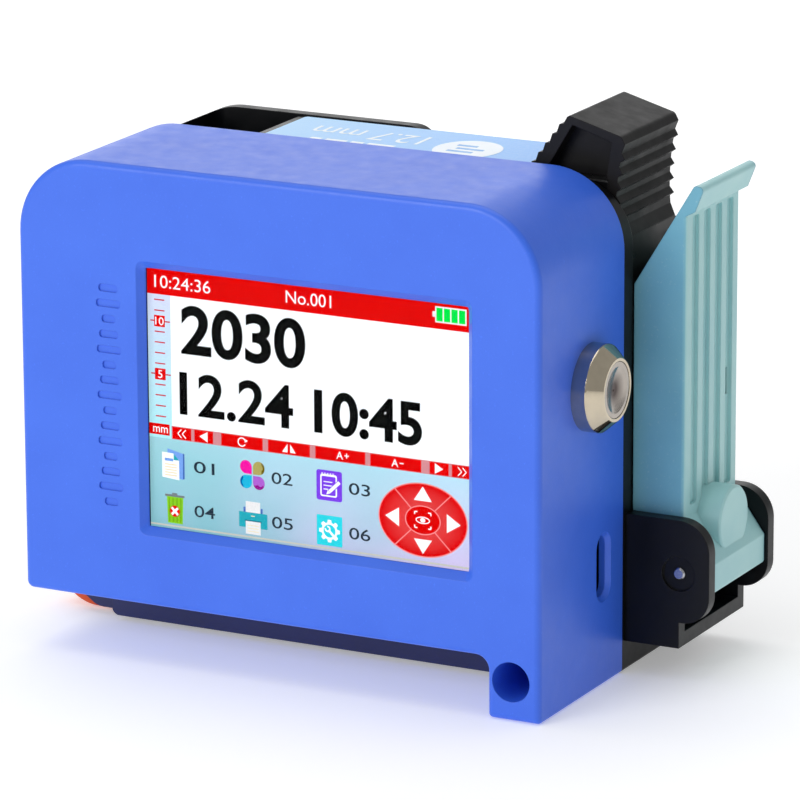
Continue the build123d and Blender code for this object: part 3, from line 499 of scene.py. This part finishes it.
def draw_petals(picture, u, v):
    """Four rounded petals about a centre, each with a darker corner."""
    for across, up, ink, shade in ((-1, 1, MAGENTA, MAGENTA), (1, 1, OLIVE, DARK_OLIVE),
                                   (-1, -1, CYAN, BLUE), (1, -1, VIOLET, PLUM)):
        centre = (u + 1.42 * across, v + 1.5 * up)
        heel = (u + 0.14 * across, v + 0.12 * up)
        start = 90 * ((0 if across > 0 else 1) if up > 0 else (3 if across > 0 else 2))
        outline = arc(centre, (1.3, 1.35), start - 90, start + 180, 36)
        picture.shape([heel] + outline, ink, 3)
        if shade is not ink:
            sweep = arc(centre, (1.3, 1.35), start - 62, start + 62, 16)
            hollow = (centre[0] + 0.35 * across, centre[1] + 0.1 * up)
            inner = arc(hollow, (0.55, 0.6), start - 62, start + 62, 16)
            picture.shape(sweep + inner[::-1], shade, 4)


def draw_notepad(picture, u, v):
    picture.rect((u, v), (u + 5.6, v + 6.1), PURPLE, 3, 0.5)
    picture.rect((u + 0.85, v + 0.8), (u + 4.5, v + 5.3), WHITE, 4, 0.4)
    picture.rect((u + 1.15, v + 1.1), (u + 4.2, v + 4.9), PURPLE, 5, 0.25)
    for n in range(5):
        picture.line((u + 1.3 + n * 0.6, v + 4.9), (u + 1.3 + n * 0.6, v + 5.6), 0.22, WHITE, 6)
    for n in range(3):
        picture.line((u + 1.6, v + 2.3 + n * 0.75), (u + 3.5, v + 2.3 + n * 0.75), 0.2, WHITE, 6)
    picture.line((u + 2.7, v + 1.7), (u + 5.0, v + 3.9), 1.0, PURPLE, 7)
    picture.line((u + 2.9, v + 1.9), (u + 5.1, v + 4.0), 0.7, WHITE, 8)
    picture.shape([(u + 2.2, v + 1.25), (u + 2.5, v + 2.2), (u + 3.1, v + 1.6)], WHITE, 8)


def draw_bin(picture, u, v):
    picture.shape([(u + 0.6, v), (u + 3.9, v), (u + 4.1, v + 5.4), (u + 0.4, v + 5.4)], LIME, 3)
    for n in range(4):
        picture.line((u + 1.0 + n * 0.83, v + 0.3), (u + 0.93 + n * 0.88, v + 5.2), 0.24, DARK_LIME, 4)
    picture.rect((u, v + 5.4), (u + 4.4, v + 5.85), GREY, 4, 0.15)
    picture.rect((u + 1.6, v + 5.85), (u + 2.8, v + 6.2), GREY, 4, 0.12)
    picture.oval((u + 2.2, v + 2.5), (1.15, 1.15), RED, 5, 36)
    for side in (-1, 1):
        picture.line((u + 1.5, v + 2.5 - 0.7 * side), (u + 2.9, v + 2.5 + 0.7 * side), 0.5, WHITE, 6)


def draw_printer(picture, u, v):
    picture.rect((u + 1.5, v + 4.0), (u + 4.7, v + 6.6), PALE, 4)
    picture.rect((u + 1.0, v + 3.9), (u + 1.45, v + 5.4), NAVY, 4)
    picture.rect((u + 4.8, v + 3.9), (u + 5.25, v + 5.4), NAVY, 4)
    picture.rect((u, v + 1.3), (u + 6.3, v + 4.4), TEAL, 5, 0.15)
    picture.rect((u + 1.3, v + 2.5), (u + 5.0, v + 2.85), DEEP_TEAL, 6)
    picture.rect((u + 2.7, v + 3.6), (u + 3.5, v + 3.8), CREAM, 6)
    picture.rect((u + 1.5, v), (u + 4.8, v + 2.6), PALE, 7)
    for n in range(3):
        picture.rect((u + 1.9, v + 0.5 + n * 0.6), (u + 4.4, v + 0.65 + n * 0.6), CREAM, 8)


def draw_gear(picture, u, v):
    picture.rect((u, v), (u + 5.6, v + 6.1), AQUA, 3, 0.2)
    centre = Vector((u + 2.8, v + 3.0))
    teeth, root, crest = 8, 1.75, 2.3
    outline = []
    for n in range(teeth):
        for share, radius in ((-0.34, root), (-0.2, crest), (0.2, crest), (0.34, root)):
            a = 2 * math.pi * (n + share) / teeth + math.pi / 2
            outline.append((centre.x + radius * math.cos(a), centre.y + radius * math.sin(a)))
    picture.shape(outline, WHITE, 4)
    picture.oval(centre, (1.3, 1.3), AQUA, 5, 40)
    picture.line(centre + Vector((0.95, -0.95)), centre + Vector((-0.2, 0.2)), 0.5, WHITE, 6)
    picture.band(centre + Vector((-0.4, 0.4)), (0.65, 0.65), 0.32, WHITE, 6, 170, 460, 24)


def draw_menu():
    width = WINDOW_WIDTH / MM
    picture = Picture("display_menu")
    picture.rect((-MARGIN, -MARGIN), (width + MARGIN, STRIP[0]), menu_backing(), 1)
    picture.rect((-MARGIN, 0.0), (width + MARGIN, 0.35), EDGE_GREY, 2)
    draw_documents(picture, 2.3, 9.7)
    draw_petals(picture, 22.45, 12.85)
    draw_notepad(picture, 36.6, 9.8)
    draw_bin(picture, 2.8, 0.75)
    draw_printer(picture, 19.4, 0.8)
    draw_gear(picture, 36.6, 0.7)
    spots = ((9.4, 11.7), (26.7, 11.7), (43.7, 11.7), (9.4, 2.7), (26.7, 2.7), (43.7, 2.7))
    for number, (left, low) in enumerate(spots, 1):
        picture.words(f"{number:02d}", left, low, 2.35, LABEL_INK, 3, 0.004, 4.6)
    return picture.finish()


def draw_pad():
    picture = Picture("display_pad")
    picture.oval(PAD_CENTRE, PAD_RADII, pad_red(), 3)
    picture.band(PAD_CENTRE, PAD_RADII, 0.22, PINK, 4)
    across, up = PAD_RADII[0] * 0.64, PAD_RADII[1] * 0.77
    for turn in ((-1, -1), (-1, 1), (1, -1), (1, 1)):
        start = (PAD_CENTRE[0] + turn[0] * 2.6, PAD_CENTRE[1] + turn[1] * 2.2)
        stop = (PAD_CENTRE[0] + turn[0] * across, PAD_CENTRE[1] + turn[1] * up)
        picture.line(start, stop, 0.2, PINK, 4)
    picture.oval(PAD_CENTRE, (3.75, 2.85), RED, 5)
    picture.band(PAD_CENTRE, (3.85, 2.95), 0.2, PINK, 6)
    u, v = PAD_CENTRE
    for turn in (-1, 1):
        picture.shape([(u - 1.95, v + 3.85 * turn), (u + 1.95, v + 3.85 * turn), (u, v + 6.75 * turn)],
                      WHITE, 5)
        picture.shape([(u + 5.15 * turn, v - 1.9), (u + 5.15 * turn, v + 1.9), (u + 8.15 * turn, v)],
                      WHITE, 5)
    picture.band(PAD_CENTRE, (1.55, 0.72), 0.2, WHITE, 7, 0, 360, 40)
    picture.oval(PAD_CENTRE, (0.55, 0.45), WHITE, 7, 24)
    for side in (-1, 1):
        for rise in (-1, 1):
            corner = (u + 1.75 * side, v + 1.6 * rise)
            picture.line(corner, (corner[0] - 0.6 * side, corner[1]), 0.24, WHITE, 7)
            picture.line(corner, (corner[0], corner[1] - 0.55 * rise), 0.24, WHITE, 7)
    return picture.finish()


for draw in (draw_header, draw_preview, draw_ruler, draw_strip, draw_menu, draw_pad):
    draw()


# ---------------------------------------------------------------- materials of the solid pieces
def clear_glass():
    shader = Shader("clear_touch_glass")
    smear = shader.noise(9 * MM, 3.0)
    clean, smeared = (0.98, 0.99, 1.0, 1.0), (0.95, 0.98, 1.0, 1.0)
    shader.set(Base_Color=shader.mix(shader.between(smear, 0.0, 1.0), clean, smeared),
               Roughness=shader.between(smear, 0.015, 0.05), IOR=1.1, Transmission_Weight=1.0)
    return shader.material


def circuit_green():
    """Solder mask with paler tracks under it."""
    shader = Shader("circuit_green")
    tracks = shader.add("ShaderNodeTexBrick", {"Vector": shader.stretched((1, 0, 1)), "Scale": 320.0,
                                               "Mortar Size": 0.03}).outputs["Fac"]
    colour = shader.mix(tracks, srgb(18, 92, 52), srgb(58, 142, 84))
    shader.set(Base_Color=colour, Roughness=shader.between(shader.noise(4 * MM), 0.3, 0.45),
               Normal=shader.bump(tracks, 0.02 * MM))
    return shader.material


def foam(name, tone, shade):
    """Open cells, paler towards their walls."""
    shader = Shader(name)
    cell_size = 0.6 * MM
    cells = shader.add("ShaderNodeTexVoronoi", {"Vector": shader.place, "Scale": 1 / cell_size})
    depth = cells.outputs["Distance"]
    shader.set(Base_Color=shader.mix(depth, tone, shade), Roughness=0.95,
               Normal=shader.bump(depth, 0.12 * MM))
    return shader.material


def gold_flex():
    """Amber film with rows of gold pads."""
    shader = Shader("gold_flex")
    grid = {"Vector": shader.stretched((0, 1, 1)), "Scale": 180.0, "Mortar Size": 0.06,
            "Brick Width": 0.45, "Row Height": 0.45}
    film = shader.add("ShaderNodeTexBrick", grid, offset=0.0).outputs["Fac"]
    shader.set(Base_Color=shader.mix(film, srgb(228, 180, 82), srgb(168, 92, 26)),
               Metallic=shader.between(film, 1.0, 0.2, 0, 1), Roughness=0.32,
               Normal=shader.bump(film, 0.02 * MM))
    return shader.material


def printed_label():
    """Pale blue printed paper that fades towards one end."""
    low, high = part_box("cartridge_label")
    shader = Shader("printed_label")
    split = shader.add("ShaderNodeSeparateXYZ", {"Vector": shader.place}).outputs
    across = shader.between(split["X"], 0.0, 1.0, low.x, high.x)
    fibre = shader.noise(0.5 * MM, 4.0)
    tone = shader.mix(across, srgb(160, 212, 255), srgb(116, 182, 255))
    shader.set(Base_Color=shader.mix(shader.between(fibre, 0.0, 0.16), tone, srgb(255, 255, 255)),
               Roughness=shader.between(fibre, 0.3, 0.42), Normal=shader.bump(fibre, 0.006 * MM),
               Specular_IOR_Level=0.3)
    return shader.material


def lever_plastic():
    """Moulded teal whose flat outer sides carry painted shade: a little deeper and bluer than its faces."""
    low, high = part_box("latch_lever")
    shader = Shader("lever_teal")
    split = shader.add("ShaderNodeSeparateXYZ", {"Vector": shader.place}).outputs
    off_middle = shader.math("ABSOLUTE", shader.math("SUBTRACT", split["Y"], (low.y + high.y) / 2))
    half = (high.y - low.y) / 2
    # painted shade mask: the flat outer sides take a darker, bluer tone than the faces
    side = shader.between(off_middle, 0.0, 1.0, half - 0.35 * MM, half - 0.1 * MM)
    cloud = shader.between(shader.noise(14 * MM, 4.0), 0.0, 1.0)
    face = shader.mix(cloud, srgb(172, 218, 218), srgb(162, 210, 214))
    painted_shade_flank = shader.mix(cloud, srgb(124, 188, 204), srgb(116, 180, 198))
    colour = shader.mix(side, face, painted_shade_flank)
    speck = shader.between(shader.noise(0.6 * MM, 2.0), 0.0, 0.25, *SPECKS)
    shader.set(Base_Color=shader.mix(speck, colour, srgb(196, 222, 222)),
               Roughness=shader.between(shader.noise(4 * MM), 0.34, 0.46),
               Normal=shader.bump(shader.noise(0.4 * MM, 2.0), 0.008 * MM, shader.soft_edges(0.45 * MM)))
    return shader.material


FINISHES = {
    "blue_shell": moulded("shell_blue", srgb(58, 110, 232), srgb(53, 104, 226), (0.34, 0.44),
                          grain=0.3 * MM, depth=0.007 * MM),
    "screen_glass": clear_glass(),
    "black_rubber": foam("gasket_foam", srgb(14, 14, 15), srgb(36, 36, 38)),
    "lcd_metal": metal("lcd_frame_steel", srgb(178, 182, 188), (0.3, 0.42), (1, 1, 12)),
    "brass_inserts": metal("turned_brass", srgb(206, 166, 86), (0.2, 0.32), (1, 14, 1)),
    "circuit_board": circuit_green(),
    "steel_screws": metal("zinc_plated_steel", srgb(172, 174, 180), (0.26, 0.4)),
    "chip_black": moulded("chip_epoxy", srgb(26, 26, 29), srgb(36, 36, 39), (0.5, 0.62), grain=0.12 * MM),
    "connector_ivory": moulded("connector_nylon", srgb(226, 220, 200), srgb(214, 206, 184), (0.4, 0.5)),
    "battery_wrap": moulded("battery_sleeve", srgb(52, 120, 190), srgb(44, 108, 178), (0.22, 0.3)),
    "tray_black": moulded("tray_plastic", srgb(28, 28, 31), srgb(38, 38, 42), (0.42, 0.56)),
    "socket_steel": metal("nickel_plate", srgb(176, 178, 182), (0.18, 0.28), (12, 1, 1)),
    "chrome_ring": turned("chrome_ring", srgb(204, 192, 170), srgb(204, 192, 170), BUTTON_AXIS,
                          (0.05, 0.11), ring=0.5 * MM, depth=0.0008 * MM),
    # the dark brown middle of the dish is a painted reflection
    "chrome_button": turned("chrome_dish", srgb(176, 168, 160), srgb(70, 58, 56), BUTTON_AXIS,
                            (0.07, 0.14), ring=0.24 * MM, depth=0.002 * MM),
    "spring_steel": metal("spring_wire", srgb(160, 162, 168), (0.2, 0.3)),
    "black_housing": moulded("housing_black", srgb(9, 10, 13), srgb(14, 15, 18), (0.3, 0.42),
                             grain=0.28 * MM, depth=0.006 * MM, Specular_IOR_Level=0.22),
    "gold_contacts": metal("gold_contacts", srgb(232, 190, 96), (0.15, 0.25)),
    "ribbon_flex": moulded("ribbon_cable", srgb(222, 222, 216), srgb(198, 200, 198), (0.35, 0.45)),
    "pin_steel": metal("ground_steel", srgb(188, 190, 196), (0.16, 0.28), (1, 14, 1)),
    "teal_lever": lever_plastic(),
    "grey_rubber": foam("pad_rubber", srgb(66, 68, 70), srgb(92, 94, 96)),
    "cartridge_black": moulded("cartridge_black", srgb(10, 10, 11), srgb(15, 15, 16), (0.26, 0.36),
                               grain=0.5 * MM, depth=0.003 * MM, Specular_IOR_Level=0.2),
    "foam_dark": foam("ink_foam", srgb(24, 24, 30), srgb(52, 52, 62)),
    "label_blue": printed_label(),
    "nozzle_gold": metal("nozzle_plate", srgb(206, 168, 104), (0.16, 0.24), (1, 16, 1)),
    "flex_gold": gold_flex(),
    "handle_black": moulded("handle_black", srgb(15, 14, 14), srgb(21, 19, 19), (0.4, 0.52), grain=0.3 * MM,
                            Specular_IOR_Level=0.25),
    # painted shade: the blue shell's lower skirt, darkened to navy as it looks in the shade under the front
    # panel
    "blue_base": moulded("base_blue_shaded", srgb(15, 27, 86), srgb(12, 22, 76), (0.36, 0.48)),
    "bush_ivory": moulded("bush_acetal", srgb(226, 222, 208), srgb(214, 208, 192), (0.34, 0.44)),
    "hub_blue": moulded("hub_blue", srgb(52, 96, 205), srgb(46, 88, 194), (0.34, 0.44)),
    "orange_tyre": moulded("tyre_orange", srgb(214, 84, 34), srgb(196, 70, 26), (0.62, 0.78),
                           grain=0.25 * MM, depth=0.012 * MM),
    "disc_black": moulded("disc_film", srgb(24, 24, 26), srgb(32, 32, 34), (0.3, 0.4)),
    "sensor_black": moulded("sensor_epoxy", srgb(22, 22, 25), srgb(30, 30, 34), (0.36, 0.5)),
}

slot_of = {entry["node"]: entry["material_slot"] for entry in frame["record"]["subparts"]}
for node, piece in frame["nodes"].items():
    piece.data.materials.clear()
    piece.data.materials.append(FINISHES[slot_of[node]])


# ---------------------------------------------------------------- printing on the cartridge label
def label_print():
    """Generic upside-down figures, small bars and a plain oval badge, a hair above the label.

    Places are shares of the label's length and width.
    """
    low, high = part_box("cartridge_label")
    length, width = high.x - low.x, high.y - low.y
    white = moulded("label_print_white", srgb(244, 250, 255), srgb(236, 246, 255), (0.3, 0.4), edge=0)
    blue = moulded("label_print_blue", srgb(120, 180, 240), srgb(112, 172, 236), (0.3, 0.4), edge=0)
    mesh = bmesh.new()

    rise, badge_rise, thickness = 0.03 * MM, 0.05 * MM, 0.012 * MM
    white_index, blue_index = 0, 1

    def flat(points, index, height):
        corners = [mesh.verts.new((low.x + u * length, low.y + v * width, high.z + height))
                   for u, v in points]
        add_face(mesh, corners, UPWARD, index)

    def bar(start, stop, bottom, top, index, height):
        flat([(start, bottom), (stop, bottom), (stop, top), (start, top)], index, height)

    text_right, text_width, text_top, text_height = 0.51, 0.4, 0.73, 0.31
    for outline in figures("12.7 mm")[0]:
        flat([(text_right - text_width * u, text_top - text_height * v) for u, v in outline],
             white_index, rise)
    for start, stop in ((0.16, 0.2), (0.215, 0.29), (0.305, 0.35), (0.365, 0.46)):
        bar(start, stop, 0.24, 0.3, white_index, rise)
    flat(arc((0.685, 0.45), (0.11, 0.334), 0, 360, 64)[:-1], white_index, rise)
    for row, (start, stop) in enumerate(((0.63, 0.72), (0.645, 0.74), (0.63, 0.7))):
        bar(start, stop, 0.32 + row * 0.11, 0.37 + row * 0.11, blue_index, badge_rise)
    thicken(mesh, thickness)
    data = bpy.data.meshes.new("cartridge_label_print")
    mesh.to_mesh(data)
    mesh.free()
    data.materials.append(white)
    data.materials.append(blue)
    piece = bpy.data.objects.new("cartridge_label_print", data)
    bpy.context.collection.objects.link(piece)
    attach(piece, "cartridge")


label_print()


# ---------------------------------------------------------------- floor, light and camera
FLOOR_RADIUS = 12.0
FLOOR_DROP = 0.2 * MM        # keeps the floor off the pieces that stand on it


def floor():
    """A wide round floor, nearly white, that also glows a little so that it fades into the surroundings."""
    data = bpy.data.meshes.new("floor")
    mesh = bmesh.new()
    bmesh.ops.create_circle(mesh, cap_ends=True, segments=96, radius=FLOOR_RADIUS)
    mesh.to_mesh(data)
    mesh.free()
    shader = Shader("studio_floor")
    cloud = shader.noise(0.4, 2.0)
    shader.set(Base_Color=shader.mix(cloud, (0.93, 0.93, 0.93, 1.0), (0.9, 0.9, 0.905, 1.0)), Roughness=0.7,
               Specular_IOR_Level=0.2, Emission_Color=(1.0, 1.0, 1.0, 1.0), Emission_Strength=0.3)
    data.materials.append(shader.material)
    plane = bpy.data.objects.new("floor", data)
    bpy.context.collection.objects.link(plane)
    plane.location.z = -FLOOR_DROP


MIDDLE = (0.0, 0.0, 0.05)    # what the lamps face


def soft_light(name, place, size, power):
    """A square-cornered area lamp that faces the middle of the printer."""
    lamp = bpy.data.lights.new(name, "AREA")
    lamp.shape = "RECTANGLE"
    lamp.size, lamp.size_y = size
    lamp.energy = power
    holder = bpy.data.objects.new(name, lamp)
    bpy.context.collection.objects.link(holder)
    holder.location = place
    holder.rotation_euler = (Vector(MIDDLE) - Vector(place)).to_track_quat("-Z", "Y").to_euler()


def studio():
    """White surroundings with a soft light above, one in front and one behind."""
    world = bpy.data.worlds.new("studio")
    world.use_nodes = True
    background = world.node_tree.nodes["Background"].inputs
    background["Color"].default_value = (0.98, 0.99, 1.0, 1.0)
    background["Strength"].default_value = 0.42
    bpy.context.scene.world = world
    soft_light("top_light", place=(-0.15, 0.1, 1.15), size=(1.2, 0.9), power=5.0)
    soft_light("front_light", place=(-0.55, -1.4, 0.6), size=(0.9, 0.8), power=10.5)
    soft_light("back_light", place=(-0.7, 1.4, 0.45), size=(1.8, 0.8), power=5.0)


CAMERA_AZIMUTH = 27.34       # degrees to the right of the display's normal
CAMERA_ELEVATION = 15.2
CAMERA_ROLL = -0.26
CAMERA_DISTANCE = 1.12
CAMERA_AIM = Vector((0.0173, -0.0234, 0.0576))
CAMERA_LENS = 260.8          # millimetres, on a sensor 36 mm wide


def camera():
    """A long lens to the right of the display's normal and a little above it."""
    data = bpy.data.cameras.new("camera")
    data.sensor_width = 36.0
    data.lens = CAMERA_LENS
    holder = bpy.data.objects.new("camera", data)
    bpy.context.collection.objects.link(holder)
    azimuth, elevation = math.radians(CAMERA_AZIMUTH), math.radians(CAMERA_ELEVATION)
    back = Vector((math.sin(azimuth) * math.cos(elevation), -math.cos(azimuth) * math.cos(elevation),
                   math.sin(elevation)))
    right = Vector((math.cos(azimuth), math.sin(azimuth), 0))
    turn = Matrix((right, back.cross(right), back)).transposed().to_4x4()
    holder.matrix_world = (Matrix.Translation(CAMERA_AIM + back * CAMERA_DISTANCE) @ turn
                           @ Matrix.Rotation(math.radians(CAMERA_ROLL), 4, "Z"))
    bpy.context.scene.camera = holder


floor()
studio()
camera()
bpy.context.scene.view_settings.view_transform = "Standard"

bpy.context.view_layer.update()
